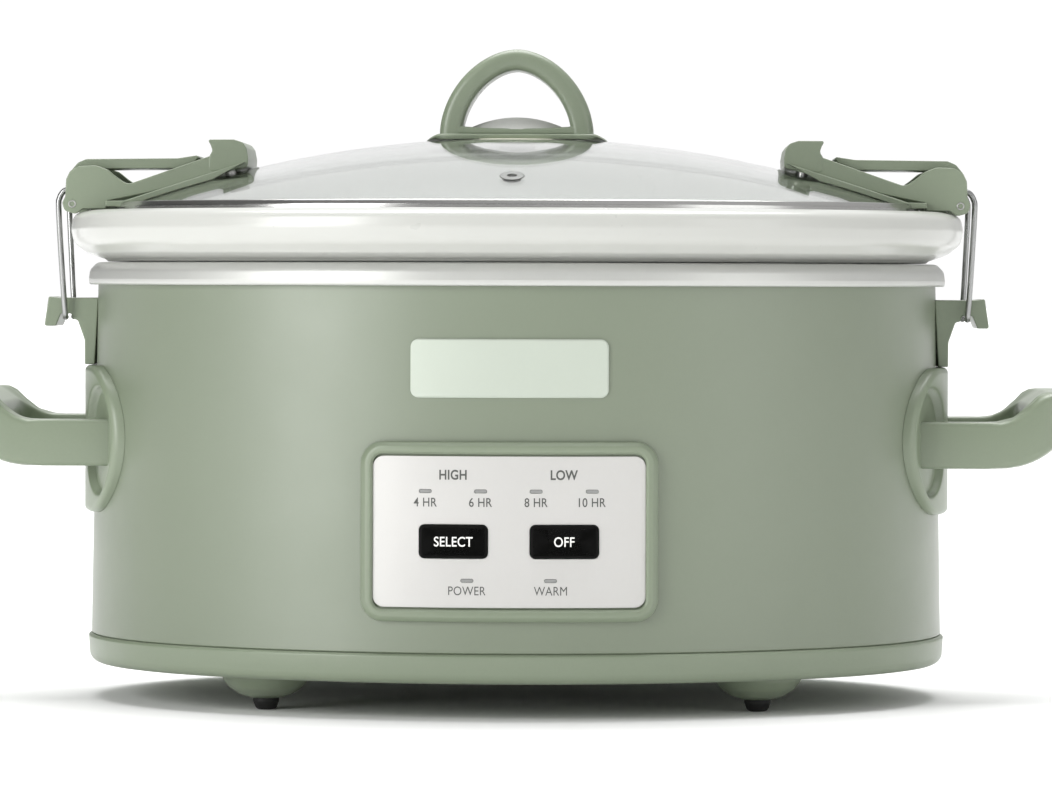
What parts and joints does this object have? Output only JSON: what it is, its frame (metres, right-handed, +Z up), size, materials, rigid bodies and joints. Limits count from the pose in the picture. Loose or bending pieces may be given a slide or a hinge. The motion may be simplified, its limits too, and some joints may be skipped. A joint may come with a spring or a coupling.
{
  "type": "slow cooker",
  "caption": "Oval countertop slow cooker with a lift-out stoneware crock, glass lid held by two swing latches, loop handles and a push-button panel.",
  "frame": {"origin": "on the table, under the middle of the oval housing, at the level of the undersides of the feet", "axes": "+Z up; -Y towards the front, where the control panel is; +X towards the right-hand handle as seen from the front"},
  "size_m": [0.4438, 0.277, 0.25],
  "materials": {
    "sage_paint": "fine satin enamel",
    "sage_plastic": "fine moulded grain",
    "silver_band": "satin",
    "pan_metal": "bare rolled sheet",
    "fixing_steel": "plated",
    "wire_steel": "drawn wire",
    "lid_band_steel": "polished",
    "stoneware": "gloss glaze",
    "clear_glass": "clear, tempered",
    "cream_plastic": "plain",
    "cap_plastic": "satin grey",
    "silver_plate": "satin silver",
    "black_plastic": "fine grain",
    "lens_plastic": "translucent grey",
    "foot_rubber": "moulded",
    "gasket_rubber": "translucent silicone",
    "heater_tape": "mica and glass tape",
    "glass_wool": "needled blanket",
    "board_laminate": "solder mask",
    "led_resin": "clear resin",
    "relay_plastic": "moulded",
    "winding_tape": "polyester tape",
    "lead_sleeve": "braided glass sleeve"
  },
  "bodies": {
    "base": {"base_tray": "sage_plastic", "rubber_feet": "foot_rubber", "outer_wrapper": "sage_paint", "rim_band": "silver_band", "heating_pan": "pan_metal", "heater_band": "heater_tape", "insulation_wrap": "glass_wool", "pan_stud": "fixing_steel", "stud_washer": "fixing_steel", "stud_nut": "fixing_steel", "temperature_sensor": "fixing_steel", "thermal_fuse": "cream_plastic", "control_bezel": "sage_plastic", "face_plate": "silver_plate", "badge_plate": "silver_plate", "indicator_lenses": "lens_plastic", "control_board": "board_laminate", "tact_switches": "black_plastic", "indicator_leds": "led_resin", "power_relay": "relay_plastic", "capacitor": "black_plastic", "transformer": "winding_tape", "board_screws": "fixing_steel", "terminal_block": "cream_plastic", "mains_leads": "lead_sleeve", "heater_leads": "lead_sleeve", "sensor_lead": "lead_sleeve", "cord_gland": "black_plastic", "left_escutcheon": "sage_plastic", "right_escutcheon": "sage_plastic", "left_handle": "sage_plastic", "right_handle": "sage_plastic", "handle_screws": "fixing_steel", "left_hook": "sage_plastic", "right_hook": "sage_plastic", "hook_screws": "fixing_steel"},
    "select_button": {"select_button": "black_plastic"},
    "off_button": {"off_button": "black_plastic"},
    "stoneware": {"stoneware_crock": "stoneware"},
    "lid": {"lid_glass": "clear_glass", "lid_rim_band": "lid_band_steel", "lid_gasket": "gasket_rubber", "vent_grommet": "gasket_rubber", "handle_base": "sage_plastic", "handle_seat": "cream_plastic", "lid_handle": "sage_plastic", "handle_cap": "cap_plastic", "handle_screw": "fixing_steel", "handle_washer": "fixing_steel", "left_latch_bracket": "sage_plastic", "right_latch_bracket": "sage_plastic", "bracket_rivets": "fixing_steel", "latch_pins": "fixing_steel"},
    "left_lever": {"left_latch_lever": "sage_plastic"},
    "right_lever": {"right_latch_lever": "sage_plastic"},
    "left_bail": {"left_bail": "wire_steel"},
    "right_bail": {"right_bail": "wire_steel"}
  },
  "joints": [
    {"name": "stoneware_lift", "type": "slide", "parent": "base", "child": "stoneware", "axis": [0, 0, 1], "range_m": [0, 0.18]},
    {"name": "lid_lift", "type": "slide", "parent": "stoneware", "child": "lid", "axis": [0, 0, 1], "range_m": [0, 0.18]},
    {"name": "right_lever_turn", "type": "hinge", "parent": "lid", "child": "right_lever", "pos_m": [0.1702, 0, 0.1897], "axis": [0, 1, 0], "range_deg": [0, 130]},
    {"name": "left_lever_turn", "type": "hinge", "parent": "lid", "child": "left_lever", "pos_m": [-0.1702, 0, 0.1897], "axis": [0, -1, 0], "range_deg": [0, 130]},
    {"name": "right_bail_swing", "type": "hinge", "parent": "right_lever", "child": "right_bail", "pos_m": [0.166, 0, 0.1945], "axis": [0, 1, 0], "range_deg": [-170.5, 0]},
    {"name": "left_bail_swing", "type": "hinge", "parent": "left_lever", "child": "left_bail", "pos_m": [-0.166, 0, 0.1945], "axis": [0, -1, 0], "range_deg": [-170.5, 0]},
    {"name": "select_press", "type": "slide", "parent": "base", "child": "select_button", "axis": [0, 1, 0], "range_m": [0, 0.0006], "stiffness_N_per_m": 300, "springref_m": -0.001},
    {"name": "off_press", "type": "slide", "parent": "base", "child": "off_button", "axis": [0, 1, 0], "range_m": [0, 0.0006], "stiffness_N_per_m": 300, "springref_m": -0.001}
  ],
  "couplings": [
    {"joint": "right_bail_swing", "follows": "right_lever_turn", "ratio": -1.308},
    {"joint": "left_bail_swing", "follows": "left_lever_turn", "ratio": -1.308}
  ]
}
